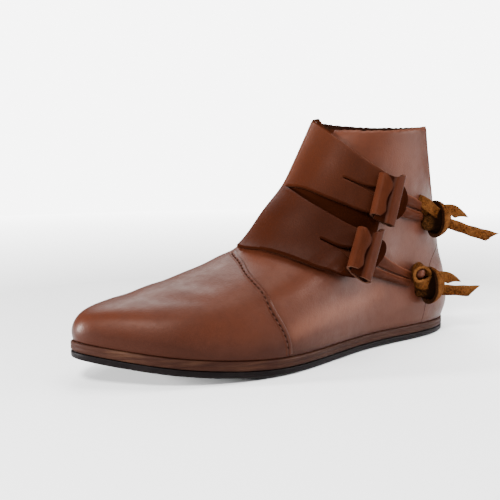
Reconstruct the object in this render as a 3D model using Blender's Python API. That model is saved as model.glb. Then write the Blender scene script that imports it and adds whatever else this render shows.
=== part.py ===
"""A low wrapped leather boot for the left foot, with two straps, rolled toggles and suede ties.

The toe points to -Y, the outer side of the foot to +X, and +Z is up. Sizes below are in millimetres. The
origin is on the floor under the middle of the boot, without its ties.
"""

from collections import namedtuple

import bmesh
import bpy
import numpy as np
from mathutils import Matrix

MM = 0.001

# Driving sizes
LENGTH = 288.0
TOE_SPRING = 16.0
SPRING_START = 0.56
OUTSOLE_THICK = 3.8
MIDSOLE_THICK = 5.6
INSOLE_THICK = 2.5
INSOLE_INSET = 4.0
WALL = 2.0
FLAP_THICK = 2.0
THONG_THICK = 2.0
TOGGLE_THICK = 1.7
LACE_WIDE = 6.5
LACE_THICK = 2.0
GAP = 0.3
MIDSOLE_BASE = OUTSOLE_THICK + GAP
SOLE_TOP = MIDSOLE_BASE + MIDSOLE_THICK
INSOLE_BASE = SOLE_TOP + GAP

# How finely the pieces are divided
SOLE_POINTS = 72
WALL_COLUMNS = 60
WALL_ROWS = 26
STRAP_STEP = 4.0
TIP_STEPS = 9
LANE_ROWS = 4
THONG_COLUMNS = 14
TOGGLE_COLUMNS = 34
KNOT_SIDES = 16
KNOT_RINGS = 8
TIE_COLUMNS = 7
SEAM_COLUMNS = 31
SHARP_ANGLE = 40

# Colours and roughness
Finish = namedtuple("Finish", "colour roughness")
LEATHER = Finish((0.155, 0.048, 0.027), 0.45)
SOLE_LEATHER = Finish((0.120, 0.050, 0.030), 0.65)
RUBBER = Finish((0.012, 0.011, 0.011), 0.55)
SUEDE = Finish((0.230, 0.105, 0.035), 0.90)

# Half widths of the sole on its outer and inner side, by the share of its length from the heel
Edge = namedtuple("Edge", "share outer inner")
SOLE_EDGE = [
    Edge(0.00, 0.0, 0.0),
    Edge(0.05, 23.0, 21.0),
    Edge(0.15, 31.0, 32.5),
    Edge(0.35, 34.0, 30.0),
    Edge(0.52, 44.5, 34.0),
    Edge(0.66, 49.0, 45.5),
    Edge(0.76, 44.0, 48.0),
    Edge(0.86, 33.0, 42.5),
    Edge(0.94, 15.0, 32.0),
    Edge(1.00, -9.0, 9.0),
]

# The side of each layer of the sole: heights, and how far the edge is set in there
Side = namedtuple("Side", "height inset")
OUTSOLE_SIDE = [
    Side(0.0, 0.9),
    Side(0.7, 0.1),
    Side(OUTSOLE_THICK - 0.4, 0.0),
    Side(OUTSOLE_THICK, 0.3),
]
MIDSOLE_SIDE = [
    Side(MIDSOLE_BASE, 0.5),
    Side(MIDSOLE_BASE + 0.6, 0.0),
    Side(SOLE_TOP - 1.0, 0.0),
    Side(SOLE_TOP, 0.8),
]
INSOLE_SIDE = [Side(INSOLE_BASE, INSOLE_INSET), Side(INSOLE_BASE + INSOLE_THICK, INSOLE_INSET)]

# Rings of the last from the sole up to the collar. front and back are distances from the heel end of the sole,
# each with its height. wide is half the width, oval goes from the sole's outline (0) to an ellipse (1), and
# follow is how much of the toe spring lifts the ring.
Ring = namedtuple("Ring", "name front front_z back back_z wide oval follow")
RINGS = [
    Ring("feather", 286.5, INSOLE_BASE, 0.5, INSOLE_BASE, 47.2, 0.00, 1.0),
    Ring("wall", 287.0, 20.0, -4.6, 22.0, 48.2, 0.02, 0.8),
    Ring("cap", 279.5, 37.3, -3.4, 33.0, 46.6, 0.08, 0.3),
    Ring("vamp", 256.0, 46.5, -1.5, 45.0, 44.4, 0.20, 0.0),
    Ring("joint", 217.5, 55.0, 3.0, 58.0, 41.2, 0.40, 0.0),
    Ring("instep", 177.5, 68.0, 6.0, 74.0, 38.0, 0.65, 0.0),
    Ring("throat", 156.8, 88.0, 10.0, 90.0, 36.0, 0.85, 0.0),
    Ring("ankle", 139.6, 105.5, 13.0, 106.0, 35.2, 1.00, 0.0),
    Ring("shaft", 125.4, 125.0, 17.0, 123.0, 35.2, 1.00, 0.0),
    Ring("collar", 107.8, 151.7, 23.5, 146.0, 36.1, 1.00, 0.0),
]
COLLAR_LEVEL = len(RINGS) - 1
RING_BOW = 1.5
UPRIGHT_LEVEL = 0.6

# Places on the upper are a level, which is the ring's number, and a turn in degrees: 0 at the heel, 90 on the
# outer side, 180 at the front and 270 on the inner side.
# The wall's top is cut lower on the outer side, between these turns
RIM_DIP = 0.28
RIM_FALL = (25, 135)
RIM_RISE = (165, 195)

# The two straps that the flap ends in, from its root at the front to their tips
Strap = namedtuple("Strap", "turn low high")
ROOT_TURN = 206
SLIT_TURN = 182
LOWER_STRAP = [
    Strap(ROOT_TURN, 5.15, 7.05),
    Strap(SLIT_TURN, 5.08, 7.05),
    Strap(160, 5.00, 6.76),
    Strap(140, 4.76, 6.35),
    Strap(122, 4.36, 5.90),
    Strap(108, 3.98, 5.48),
    Strap(94, 3.58, 5.08),
    Strap(84, 3.40, 4.86),
]
UPPER_STRAP = [
    Strap(ROOT_TURN, 7.05, 8.99),
    Strap(SLIT_TURN, 7.05, 8.83),
    Strap(160, 6.98, 8.61),
    Strap(140, 6.69, 8.32),
    Strap(122, 6.36, 8.00),
    Strap(108, 6.06, 7.67),
    Strap(94, 5.78, 7.25),
    Strap(80.5, 5.63, 6.84),
]
EVEN_TURN = 110
TIP_ROUND = 9.0
TIP_BLUNT = 0.94
SKIVE_TURN = 186
ROOT_SKIVED = 0.25
STRAP_STAND = 2.6
STAND_TURNS = (104, 120)
CURL_RISE = (112, 124)
CURL_FALL = (150, 178)
HOLE_WIDE = 0.16
HOLE_EASE = 2.0

# What fastens each strap: its buttonhole, the toggle over it and the thong from the toggle back to the tie.
# curl lifts the strap's lower edge, lean tips the toggle's top towards the heel, and slide is how far its
# middle is above the thong's neck. stand is a tie's clearance from the skin, and the points of its ends are
# distances along the boot and up from its middle.
Fastening = namedtuple("Fastening", "name strap curl hole_start hole_end toggle_turn lean slide thong tie")
Thong = namedtuple("Thong", "turn level half")
Tie = namedtuple("Tie", "level turn stand long_end short_end")
FASTENINGS = [
    Fastening(
        "upper", UPPER_STRAP, 0.8, 134, 91, 102, 21, -2.5,
        [Thong(97, 6.56, 0.40), Thong(80, 6.25, 0.45), Thong(60, 5.88, 0.36)],
        Tie(
            5.52, 50, 0.9,
            [(11.4, -3.9), (27.0, -9.2), (49.0, -15.3)],
            [(10.8, 7.6), (15.0, 6.4), (22.5, 0.6)],
        ),
    ),
    Fastening(
        "lower", LOWER_STRAP, 1.6, 129, 91, 101, 31, 1.5,
        [Thong(95, 4.40, 0.40), Thong(80, 3.82, 0.45), Thong(57, 2.75, 0.40)],
        Tie(
            2.30, 48, 0.1,
            [(11.4, -4.0), (24.0, -5.2), (39.0, -6.4)],
            [(10.8, 6.3), (15.0, 5.2), (21.7, 0.0)],
        ),
    ),
]
NECK_HALF = 0.08
NECK_TURN = 3.2
NECK_TOP = GAP + STRAP_STAND + FLAP_THICK - 0.1
LEG_SPLIT = 86
LEG_GAP = 0.04

# A toggle is wound from its core out to its free end, in whole turns from the face that shows. Its inner part is
# longer at the top, by a share of what would make its leaning top level.
TOGGLE_LONG = 30.0
TOGGLE_WIDE = 22.0
TOGGLE_DEEP = 9.4
CORE_TURN = -0.20
END_TURN = 0.97
WRAP_STEP = TOGGLE_THICK + GAP
END_CUT_TURN = 0.60
END_CUT = 0.14
TOP_RISE = 0.4
TOP_RISE_TURNS = (0.25, 0.60)

# Half sizes of a tie's knot along the boot, outwards and up, and the plane that its ends lie in
KNOT_HALF = (9.0, 5.8, 13.0)
KNOT_ALONG = 2.0
TIE_HEADING = (0.35, 0.94, 0.0)
TIE_TAPER = 0.8
TIE_TAPER_START = 0.62

# The raised seam down the outer side, from the throat to the sole
Seam = namedtuple("Seam", "level turn")
VAMP_SEAM = [
    Seam(4.93, 188),
    Seam(4.72, 166),
    Seam(4.24, 146),
    Seam(3.44, 126),
    Seam(2.45, 114),
    Seam(1.30, 107),
    Seam(0.12, 104.5),
]
SEAM_WIDE = 3.0
SEAM_HIGH = 0.9
SEAM_SEAT = 1.5 * GAP


def spline(knots, values, at):
    """A natural cubic spline through the rows of values at the knots, read at the places given."""
    knots, values, at = (np.asarray(a, float) for a in (knots, values, at))
    step = np.diff(knots)
    count = len(knots)
    system = np.eye(count)
    right = np.zeros_like(values)
    for i in range(1, count - 1):
        system[i, i - 1:i + 2] = step[i - 1], 2 * (step[i - 1] + step[i]), step[i]
        right[i] = 6 * ((values[i + 1] - values[i]) / step[i] - (values[i] - values[i - 1]) / step[i - 1])
    bend = np.linalg.solve(system, right)
    k = np.clip(np.searchsorted(knots, at, "right") - 1, 0, count - 2)
    shape = at.shape + (1,) * (values.ndim - 1)
    before = (at - knots[k]).reshape(shape)
    after = (knots[k + 1] - at).reshape(shape)
    wide = step[k].reshape(shape)
    return (
        (bend[k] * after**3 + bend[k + 1] * before**3) / (6 * wide)
        + (values[k] / wide - bend[k] * wide / 6) * after
        + (values[k + 1] / wide - bend[k + 1] * wide / 6) * before
    )


def ramp(start, end, value):
    """0 before start and 1 past end, with a soft change between."""
    share = np.clip((np.asarray(value, float) - start) / (end - start), 0, 1)
    return share * share * (3 - 2 * share)


def spring(along):
    """Height of the sole's underside at a distance from the heel."""
    share = np.clip((along / LENGTH - SPRING_START) / (1 - SPRING_START), 0, None)
    return TOE_SPRING * share**2


EDGE_TURNS = np.degrees(np.arccos(1 - 2 * np.array([row.share for row in SOLE_EDGE])))
EDGE_WIDTHS = np.array([[row.outer, row.inner] for row in SOLE_EDGE])
WIDEST = EDGE_WIDTHS.max(axis=0).mean()
RING_ROWS = np.array([row[1:] for row in RINGS])


def half_turn(turn):
    """The turn from the heel, on whichever side it is nearer."""
    turn = np.asarray(turn, float) % 360
    return np.minimum(turn, 360 - turn)


def outer_side(turn):
    return np.asarray(turn, float) % 360 <= 180


def sole_edge(turn):
    """(x, y) of the sole's outline at a turn round it."""
    half = half_turn(turn)
    widths = spline(EDGE_TURNS, EDGE_WIDTHS, half)
    x = np.where(outer_side(turn), widths[..., 0], -widths[..., 1])
    along = LENGTH * (1 - np.cos(np.radians(half))) / 2
    return np.stack([x, LENGTH / 2 - along], -1)


def skin(level, turn):
    """Points of the upper's outer skin."""
    level, turn = np.broadcast_arrays(np.asarray(level, float), np.asarray(turn, float))
    rows = spline(np.arange(len(RINGS)), RING_ROWS, level)
    front, front_z, back, back_z, wide, oval, follow = np.moveaxis(rows, -1, 0)
    oval = np.clip(oval, 0, 1)
    half = half_turn(turn)
    share = (1 - np.cos(np.radians(half))) / 2
    along = back + (front - back) * share
    z = back_z + (front_z - back_z) * share**RING_BOW + np.clip(follow, 0, 1) * spring(along)
    outline = spline(EDGE_TURNS, EDGE_WIDTHS, half) / WIDEST
    ellipse = np.sin(np.radians(half))
    outer = wide * ((1 - oval) * outline[..., 0] + oval * ellipse)
    inner = wide * ((1 - oval) * outline[..., 1] + oval * ellipse)
    x = np.where(outer_side(turn), outer, -inner)
    return np.stack([x, LENGTH / 2 - along, z], -1)


def unit(vectors):
    return vectors / np.linalg.norm(vectors, axis=-1, keepdims=True)


def normal(level, turn):
    """Outward directions of the skin."""
    level_step, turn_step = 0.02, 0.5
    low = np.clip(np.asarray(level, float) - level_step, 0, COLLAR_LEVEL)
    high = np.clip(np.asarray(level, float) + level_step, 0, COLLAR_LEVEL)
    turn = np.asarray(turn, float)
    up = skin(high, turn) - skin(low, turn)
    around = skin(level, turn + turn_step) - skin(level, turn - turn_step)
    return unit(np.cross(up, around))


def off_skin(level, turn, lift):
    """Points at a distance from the skin."""
    return skin(level, turn) + normal(level, turn) * np.asarray(lift, float)[..., None]


def material(name, finish):
    made = bpy.data.materials.new(name)
    made.use_nodes = True
    shader = made.node_tree.nodes["Principled BSDF"]
    shader.inputs["Base Color"].default_value = (*finish.colour, 1)
    shader.inputs["Roughness"].default_value = finish.roughness
    shader.inputs["Metallic"].default_value = 0.0
    return made


def add_node(name, shape, finish):
    """One closed piece from its bmesh, which is in millimetres."""
    bmesh.ops.scale(shape, vec=(MM, MM, MM), verts=shape.verts[:])
    bmesh.ops.recalc_face_normals(shape, faces=shape.faces[:])
    mesh = bpy.data.meshes.new(name)
    shape.to_mesh(mesh)
    shape.free()
    mesh.shade_smooth()
    mesh.set_sharp_from_angle(angle=np.radians(SHARP_ANGLE))
    mesh.materials.append(material(name, finish))
    node = bpy.data.objects.new(name, mesh)
    bpy.context.collection.objects.link(node)
    node.parent = BOOT


def solid(points, faces):
    shape = bmesh.new()
    corners = [shape.verts.new(point) for point in points]
    for face in faces:
        shape.faces.new([corners[i] for i in face])
    return shape


def leather(lanes):
    """A sheet with two faces. Each lane is a pair of grids of points, its under and its upper face. Lanes whose
    points agree are joined there, and the rest of the border is closed with a wall."""
    points, faces, index = [], [], {}

    def corner(pair):
        key = tuple(np.round(np.concatenate(pair), 5))
        if key not in index:
            index[key] = len(points)
            points.extend(pair)
        return index[key]

    borders = {}
    for under, over in lanes:
        columns, rows = under.shape[:2]
        ids = [[corner((under[i, j], over[i, j])) for j in range(rows)] for i in range(columns)]
        for i in range(columns - 1):
            for j in range(rows - 1):
                loop = [ids[i][j], ids[i + 1][j], ids[i + 1][j + 1], ids[i][j + 1]]
                faces.append(loop)
                faces.append([k + 1 for k in reversed(loop)])
                for a, b in zip(loop, loop[1:] + loop[:1]):
                    borders[frozenset((a, b))] = None if frozenset((a, b)) in borders else (a, b)
    for edge in borders.values():
        if edge:
            a, b = edge
            faces.append([b, a, a + 1, b + 1])
    return solid(points, faces)


def sole_layer(side):
    """A layer of the sole, with the sides given."""
    turns = np.linspace(0, 360, SOLE_POINTS, endpoint=False)
    edge = sole_edge(turns)
    run = unit(np.roll(edge, -1, axis=0) - np.roll(edge, 1, axis=0))
    inward = np.stack([run[:, 1], -run[:, 0]], -1)
    points, faces = [], []
    for height, inset in side:
        ring = edge + inward * inset
        points.extend(np.column_stack([ring, height + spring(LENGTH / 2 - ring[:, 1])]))
    top = (len(side) - 1) * SOLE_POINTS
    for low in range(0, top, SOLE_POINTS):
        for k in range(SOLE_POINTS):
            after = (k + 1) % SOLE_POINTS
            faces.append([low + k, low + after, low + SOLE_POINTS + after, low + SOLE_POINTS + k])
    for low in (0, top):
        for k in range(SOLE_POINTS // 2):
            ladder = [k, k + 1, SOLE_POINTS - k - 1, (SOLE_POINTS - k) % SOLE_POINTS]
            faces.append([low + i for i in dict.fromkeys(ladder)])
    return solid(points, faces)


def add_soles():
    add_node("outsole", sole_layer(OUTSOLE_SIDE), RUBBER)
    add_node("midsole", sole_layer(MIDSOLE_SIDE), SOLE_LEATHER)
    add_node("insole", sole_layer(INSOLE_SIDE), SOLE_LEATHER)


def rim_level(turn):
    """The wall's top, which on the outer side is below the front corner of the flap."""
    turn = np.asarray(turn, float) % 360
    return COLLAR_LEVEL - RIM_DIP * ramp(*RIM_FALL, turn) * (1 - ramp(*RIM_RISE, turn))


def add_upper():
    """One wall, upright where it meets the sole."""
    turns = np.linspace(0, 360, WALL_COLUMNS + 1)[:, None]
    turns[-1] = 0
    levels = np.linspace(0, 1, WALL_ROWS)[None] * rim_level(turns)
    outward = normal(levels, turns)
    outward[..., 2] *= ramp(0.0, UPRIGHT_LEVEL, levels)
    outside = skin(levels, turns)
    add_node("upper", leather([(outside - unit(outward) * WALL, outside)]), LEATHER)


def strap_edges(rows, turns):
    """The levels of a strap's two edges."""
    table = np.array(rows, float)[::-1]
    return spline(table[:, 0], table[:, 1:], turns).T


def toggle_level(fastening):
    """The strap's middle, where the thong's neck comes up through the buttonhole."""
    return strap_edges(fastening.strap, np.array([fastening.toggle_turn - NECK_TURN / 2])).mean()


def flap_stand(turns, curl):
    """Room under the flap: the thongs pass under the straps, and the lower edges curl up."""
    over_thong = STRAP_STAND * (1 - ramp(*STAND_TURNS, turns))
    return GAP + over_thong + curl * ramp(*CURL_RISE, turns) * (1 - ramp(*CURL_FALL, turns))


def strap_outlines():
    """Each strap's columns and its two edges there, with a round tip. At the root the straps share an edge."""
    even = np.arange(ROOT_TURN, EVEN_TURN - 1, -STRAP_STEP)
    closer = np.sin(np.linspace(0, np.pi / 2, TIP_STEPS + 1))[1:]
    outlines = []
    for fastening in FASTENINGS:
        tip = fastening.strap[-1].turn
        turns = np.concatenate([even, EVEN_TURN - (EVEN_TURN - tip) * closer])
        low, high = strap_edges(fastening.strap, turns)
        narrow = np.clip((tip + TIP_ROUND - turns) / TIP_ROUND, 0, TIP_BLUNT)
        middle, half = (low + high) / 2, (high - low) / 2 * np.sqrt(1 - narrow**2)
        outlines.append((turns, middle - half, middle + half))
    joined = np.count_nonzero(even >= SLIT_TURN)
    upper_low, lower_high = outlines[0][1], outlines[1][2]
    shared = (upper_low[:joined] + lower_high[:joined]) / 2
    upper_low[:joined] = shared
    lower_high[:joined] = shared
    return outlines


def add_flap():
    """The flap is thinned at its root. Each strap has a lane on either side of its buttonhole."""
    lanes = []
    across = np.linspace(0, 1, LANE_ROWS)[None]
    for fastening, (turns, low, high) in zip(FASTENINGS, strap_outlines()):
        neck_start = fastening.toggle_turn + HOLE_EASE
        neck_end = fastening.toggle_turn - NECK_TURN - HOLE_EASE
        opens = ramp(fastening.hole_start, neck_start, turns)
        opening = HOLE_WIDE * opens * ramp(fastening.hole_end, neck_end, turns)
        middle = (low + high) / 2
        skived = ramp(SKIVE_TURN, ROOT_TURN, turns)[:, None]
        thick = FLAP_THICK * (1 - (1 - ROOT_SKIVED) * skived)
        for start, end in ((low, middle - opening), (middle + opening, high)):
            levels = start[:, None] + (end - start)[:, None] * across
            from_low = (levels - low[:, None]) / (high - low)[:, None]
            stand = flap_stand(turns[:, None], fastening.curl * (1 - from_low) ** 2)
            columns = np.broadcast_to(turns[:, None], levels.shape)
            lanes.append((off_skin(levels, columns, stand), off_skin(levels, columns, stand + thick)))
    add_node("wrap_flap", leather(lanes), LEATHER)


def add_thong(fastening):
    """A split strip on the skin, turned up at its front end into the buttonhole's neck."""
    table = np.array(fastening.thong, float)[::-1]
    front = fastening.toggle_turn
    back = front - NECK_TURN
    turns = np.linspace(table[0, 0], table[-1, 0], THONG_COLUMNS)
    levels, halves = spline(table[:, 0], table[:, 1:], turns).T
    under = [(turn, GAP) for turn in turns] + [(front, GAP), (front, NECK_TOP)]
    over = [(turn, GAP + THONG_THICK) for turn in turns] + [(back, GAP + THONG_THICK), (back, NECK_TOP)]
    levels = np.append(levels, [toggle_level(fastening)] * 2)
    halves = np.append(halves, [NECK_HALF] * 2)
    split = np.append(np.where(turns < LEG_SPLIT, LEG_GAP, 0), [0, 0])
    lanes = []
    for start, end in ((levels - halves, levels - split), (levels + split, levels + halves)):
        rows = start[:, None] + (end - start)[:, None] * np.array([0, 0.5, 1])
        faces = []
        for side in (under, over):
            turn, lift = (np.broadcast_to(np.array(v)[:, None], rows.shape) for v in zip(*side))
            faces.append(off_skin(rows, turn, lift))
        lanes.append(faces)
    add_node("thong_" + fastening.name, leather(lanes), LEATHER)


def add_toggle(fastening):
    """A strip rolled up into a flat scroll that lies on its strap. Its free end comes round the toe side and
    lies on the outward face."""
    back_turn = 0.5
    back_deep = TOGGLE_DEEP / 2 - WRAP_STEP * (END_TURN - back_turn)
    level = toggle_level(fastening)
    place = off_skin(level, fastening.toggle_turn, GAP + STRAP_STAND + FLAP_THICK + GAP + back_deep)
    out = normal(level, fastening.toggle_turn)
    to_heel = unit(np.cross((0.0, 0.0, 1.0), out))
    upright = np.cross(out, to_heel)
    lean = np.radians(fastening.lean)
    axis = np.cos(lean) * upright + np.sin(lean) * to_heel
    side = np.cos(lean) * to_heel - np.sin(lean) * upright
    place = place + fastening.slide * axis
    turns = np.linspace(CORE_TURN, END_TURN, TOGGLE_COLUMNS)
    angle = (turns + 0.25) * 2 * np.pi
    wound = (END_TURN - turns) * WRAP_STEP
    half_long = TOGGLE_LONG / 2 * (1 - END_CUT * ramp(END_CUT_TURN, END_TURN, turns))
    rise = TOP_RISE * TOGGLE_WIDE * np.tan(lean) * (1 - ramp(*TOP_RISE_TURNS, turns))
    faces = []
    for inset in (TOGGLE_THICK, 0.0):
        sideways = (wound + inset - TOGGLE_WIDE / 2) * np.cos(angle)
        outward = (TOGGLE_DEEP / 2 - wound - inset) * np.sin(angle)
        line = place + sideways[:, None] * side + outward[:, None] * out
        heights = np.stack([-half_long, rise / 2, half_long + rise], axis=1)
        faces.append(line[:, None] + heights[..., None] * axis)
    add_node("toggle_" + fastening.name, leather([faces]), LEATHER)


def add_tie(fastening):
    """The knot and the two free ends of a suede lace, in an upright plane beside the heel."""
    tie = fastening.tie
    along = unit(np.array(TIE_HEADING))
    up = np.array([0.0, 0.0, 1.0])
    out = np.cross(along, up)
    centre = off_skin(tie.level, tie.turn, KNOT_HALF[1] + tie.stand)
    axes = [half * axis for half, axis in zip(KNOT_HALF, (along, out, up))]
    placed = Matrix(np.vstack([np.column_stack([*axes, centre + KNOT_ALONG * along]), [0, 0, 0, 1]]))
    knot = bmesh.new()
    bmesh.ops.create_uvsphere(knot, u_segments=KNOT_SIDES, v_segments=KNOT_RINGS, radius=1, matrix=placed)
    add_node(f"tie_{fastening.name}_knot", knot, SUEDE)
    for end, route in (("long", tie.long_end), ("short", tie.short_end)):
        route = np.array(route)
        steps = np.linspace(0, len(route) - 1, TIE_COLUMNS)
        line = spline(np.arange(len(route)), route, steps)
        across = unit(np.gradient(line, axis=0)) @ np.array([[0, 1], [-1, 0]])
        half_wide = LACE_WIDE / 2 * (1 - TIE_TAPER * ramp(TIE_TAPER_START, 1, steps / steps[-1]))[:, None]
        flat = np.stack([line - across * half_wide, line + across * half_wide], axis=1)
        middle = centre + flat[..., :1] * along + flat[..., 1:] * up
        faces = [middle + shift * LACE_THICK * out for shift in (-0.5, 0.5)]
        add_node(f"tie_{fastening.name}_{end}_end", leather([faces]), SUEDE)


def add_seam():
    table = np.array(VAMP_SEAM, float)
    route = spline(np.arange(len(table)), table, np.linspace(0, len(table) - 1, SEAM_COLUMNS))
    line = skin(route[:, 0], route[:, 1])
    run = unit(np.gradient(line, axis=0))
    outward = normal(route[:, 0], route[:, 1])
    across = unit(np.cross(outward, run)) * SEAM_WIDE / 2
    faces = []
    for lift in (SEAM_SEAT, SEAM_SEAT + SEAM_HIGH):
        faces.append(np.stack([line + outward * lift + across * side for side in (-1, 0, 1)], axis=1))
    add_node("vamp_seam", leather([faces]), LEATHER)


def centre_on_floor(nodes):
    """Moves the boot so that the middle of its box is over the origin."""
    corners = np.array([v.co for node in nodes for v in node.data.vertices])
    middle = (corners.min(axis=0) + corners.max(axis=0)) / 2
    BOOT.location = (-middle[0], -middle[1], 0.0)


for old in list(bpy.data.objects):
    bpy.data.objects.remove(old)
BOOT = bpy.data.objects.new("boot", None)
bpy.context.collection.objects.link(BOOT)
add_soles()
add_upper()
add_seam()
add_flap()
for each in FASTENINGS:
    add_thong(each)
    add_toggle(each)
centre_on_floor([node for node in bpy.data.objects if node.type == "MESH"])
for each in FASTENINGS:
    add_tie(each)
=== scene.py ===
"""Looks of the wrapped leather boot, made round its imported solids.

Sizes are in millimetres, in the boot's own frame before it is centred: toe to -Y, outer side to +X, +Z up,
and y = 0 at half the length of the sole. A place on the upper is a level, from 0 at the sole to 9 at the
collar, and a turn in degrees: 0 at the heel, 90 on the outer side, 180 at the front, 270 on the inner side.
"""

from collections import namedtuple

import bmesh
import bpy
import numpy as np
from mathutils import Matrix, Vector


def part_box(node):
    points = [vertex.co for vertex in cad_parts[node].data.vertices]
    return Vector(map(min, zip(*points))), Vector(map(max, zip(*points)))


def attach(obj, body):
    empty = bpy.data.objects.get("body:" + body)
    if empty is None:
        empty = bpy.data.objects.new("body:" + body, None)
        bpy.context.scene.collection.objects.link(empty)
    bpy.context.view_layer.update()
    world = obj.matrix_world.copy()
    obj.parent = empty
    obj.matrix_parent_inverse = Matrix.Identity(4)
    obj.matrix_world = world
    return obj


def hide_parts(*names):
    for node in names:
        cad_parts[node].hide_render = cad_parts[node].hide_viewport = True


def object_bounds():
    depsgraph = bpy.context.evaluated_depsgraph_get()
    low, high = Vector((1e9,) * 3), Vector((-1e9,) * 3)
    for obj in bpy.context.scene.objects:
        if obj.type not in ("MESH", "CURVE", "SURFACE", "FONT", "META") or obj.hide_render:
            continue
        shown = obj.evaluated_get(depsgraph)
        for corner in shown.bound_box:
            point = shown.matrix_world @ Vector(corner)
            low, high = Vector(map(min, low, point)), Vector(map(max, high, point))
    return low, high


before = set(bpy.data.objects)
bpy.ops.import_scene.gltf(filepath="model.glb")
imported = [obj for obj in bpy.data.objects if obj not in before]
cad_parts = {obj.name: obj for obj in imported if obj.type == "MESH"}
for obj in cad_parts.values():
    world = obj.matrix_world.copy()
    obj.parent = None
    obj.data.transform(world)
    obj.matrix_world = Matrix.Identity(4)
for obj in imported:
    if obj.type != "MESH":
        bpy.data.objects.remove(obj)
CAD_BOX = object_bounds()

MM = 0.001


def table(kind, *rows):
    """Rows of one kind of named tuple."""
    return [kind(*row) for row in rows]


# Sizes that the solids are made from
LENGTH = 288.0
TOE_SPRING = 16.0
SPRING_START = 0.56
OUTSOLE_THICK = 3.8
MIDSOLE_THICK = 5.6
INSOLE_THICK = 2.5
INSOLE_INSET = 4.0
WALL = 2.0
FLAP_THICK = 2.0
THONG_THICK = 2.0
TOGGLE_THICK = 1.7
LACE_WIDE = 6.5
LACE_THICK = 2.0
GAP = 0.3
MIDSOLE_BASE = OUTSOLE_THICK + GAP
SOLE_TOP = MIDSOLE_BASE + MIDSOLE_THICK
INSOLE_BASE = SOLE_TOP + GAP

# Half widths of the sole on its outer and inner side, by the share of its length from the heel
Edge = namedtuple("Edge", "share outer inner")
SOLE_EDGE = table(
    Edge,
    (0.00, 0.0, 0.0), (0.05, 23.0, 21.0), (0.15, 31.0, 32.5), (0.35, 34.0, 30.0), (0.52, 44.5, 34.0),
    (0.66, 49.0, 45.5), (0.76, 44.0, 48.0), (0.86, 33.0, 42.5), (0.94, 15.0, 32.0), (1.00, -9.0, 9.0),
)

# Rings of the last from the sole up to the collar
Ring = namedtuple("Ring", "name front front_z back back_z wide oval follow")
RINGS = table(
    Ring,
    ("feather", 286.5, INSOLE_BASE, 0.5, INSOLE_BASE, 47.2, 0.00, 1.0),
    ("wall", 287.0, 20.0, -4.6, 22.0, 48.2, 0.02, 0.8),
    ("cap", 279.5, 37.3, -3.4, 33.0, 46.6, 0.08, 0.3),
    ("vamp", 256.0, 46.5, -1.5, 45.0, 44.4, 0.20, 0.0),
    ("joint", 217.5, 55.0, 3.0, 58.0, 41.2, 0.40, 0.0),
    ("instep", 177.5, 68.0, 6.0, 74.0, 38.0, 0.65, 0.0),
    ("throat", 156.8, 88.0, 10.0, 90.0, 36.0, 0.85, 0.0),
    ("ankle", 139.6, 105.5, 13.0, 106.0, 35.2, 1.00, 0.0),
    ("shaft", 125.4, 125.0, 17.0, 123.0, 35.2, 1.00, 0.0),
    ("collar", 107.8, 151.7, 23.5, 146.0, 36.1, 1.00, 0.0),
)
COLLAR_LEVEL = len(RINGS) - 1
RING_BOW = 1.5
UPRIGHT_LEVEL = 0.6
RIM_DIP = 0.28
RIM_TURNS = (25, 135), (165, 195)

# The two straps that the flap ends in
Strap = namedtuple("Strap", "turn low high")
ROOT_TURN = 206
SLIT_TURN = 182
LOWER_STRAP = table(
    Strap,
    (ROOT_TURN, 5.15, 7.05), (SLIT_TURN, 5.08, 7.05), (160, 5.00, 6.76), (140, 4.76, 6.35),
    (122, 4.36, 5.90), (108, 3.98, 5.48), (94, 3.58, 5.08), (84, 3.40, 4.86),
)
UPPER_STRAP = table(
    Strap,
    (ROOT_TURN, 7.05, 8.99), (SLIT_TURN, 7.05, 8.83), (160, 6.98, 8.61), (140, 6.69, 8.32),
    (122, 6.36, 8.00), (108, 6.06, 7.67), (94, 5.78, 7.25), (80.5, 5.63, 6.84),
)

# Shape of the flap: columns and tips of its straps, their stand and curl, buttonholes, edges and root
STRAP_STEP = 1.0
TIP_STEPS = 30
EVEN_TURN = 110
TIP_ROUND = 9.0
TIP_BLUNT = 0.98
STRAP_STAND = 2.6
STAND_TURNS = (104, 120)
CURL_TURNS = (112, 124), (150, 178)
HOLE_WIDE = 0.16
HOLE_EASE = 2.0
HOLE_TIP = 2.0
HOLE_THIN = 0.10
LIP_PRESS = 0.9
LIP_LIFT = 0.5
EDGE_ROUND = 0.7
ROUND_MOST = 0.42
SPLIT_TURNS = (SLIT_TURN, SLIT_TURN - 4)
SINK_TURNS = (184, 205)
SINK_THIN = 0.5
DIVE_TURNS = (198, ROOT_TURN)
DIVE = 0.85

# Tones of the flap: a painted highlight along its top edges, painted shade along its lower edges, at its
# tips and over the lower strap, and the parts in the glossless leather of painted shade: tips, lower edges
# and the corner at the collar
EDGE_FADE = 0.5
TOP_EDGE_HIGHLIGHT = 0.5
TOP_EDGE_START = (2, 12)
TOP_EDGE_TURNS = (155, 178)
BOTTOM_EDGE_SHADE = -0.8
BOTTOM_SHADE_LEAST = 0.15
TIP_SHADE = 0.9
TIP_FADE = (0, 12)
TIP_SHADE_REACH = 11.0
LOW_TONE = -0.20
LOW_TONE_TURNS = (160, 184)
LOWER_STRAP_SHADE = -0.45
ROOT_TONE = 0.31
ROOT_BLEND = (172, 202)
CORNER_TURNS = (158, 216)
CORNER_TALL = 0.1
CORNER_EDGE = 1.2

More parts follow.
